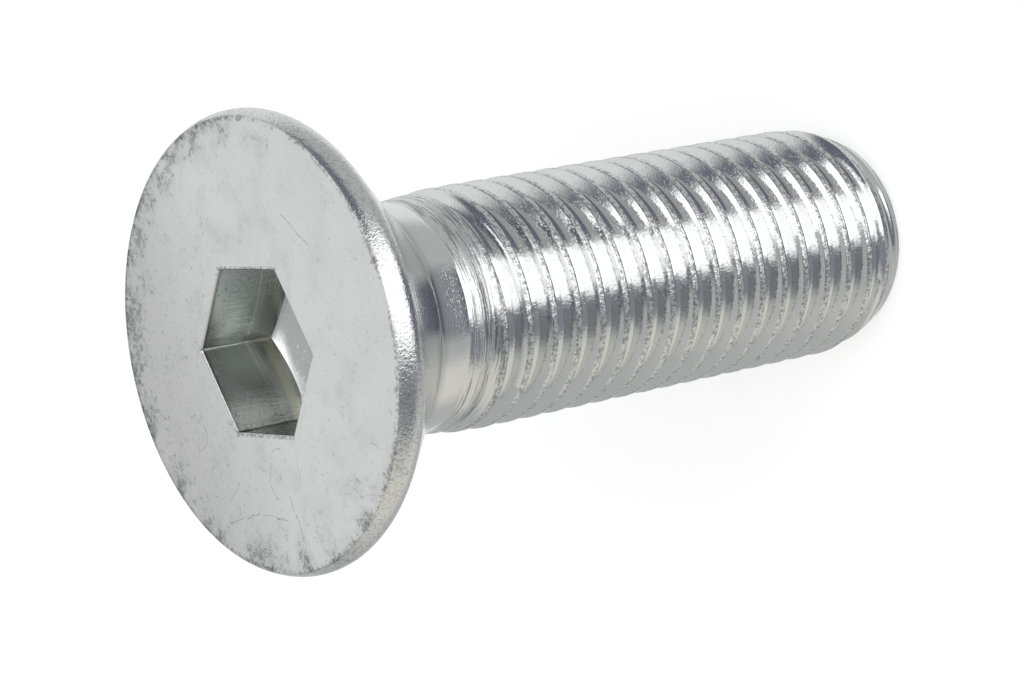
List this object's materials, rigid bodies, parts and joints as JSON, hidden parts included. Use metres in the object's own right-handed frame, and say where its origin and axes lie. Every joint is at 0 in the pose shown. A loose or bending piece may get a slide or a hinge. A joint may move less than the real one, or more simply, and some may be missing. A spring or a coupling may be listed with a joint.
{
  "type": "countersunk socket screw",
  "caption": "Metric machine screw with a flat countersunk head, a hexagon socket and a coarse thread that runs up to a short plain neck.",
  "frame": {"origin": "centre of the flat face of the head", "axes": "+Z out of the head along the screw's axis, with two corners of the hexagon socket on X"},
  "size_m": [0.029, 0.029, 0.0496],
  "materials": {
    "zinc_steel": "bright zinc plate, lightly scuffed"
  },
  "bodies": {
    "root": {"screw": "zinc_steel"}
  },
  "joints": []
}
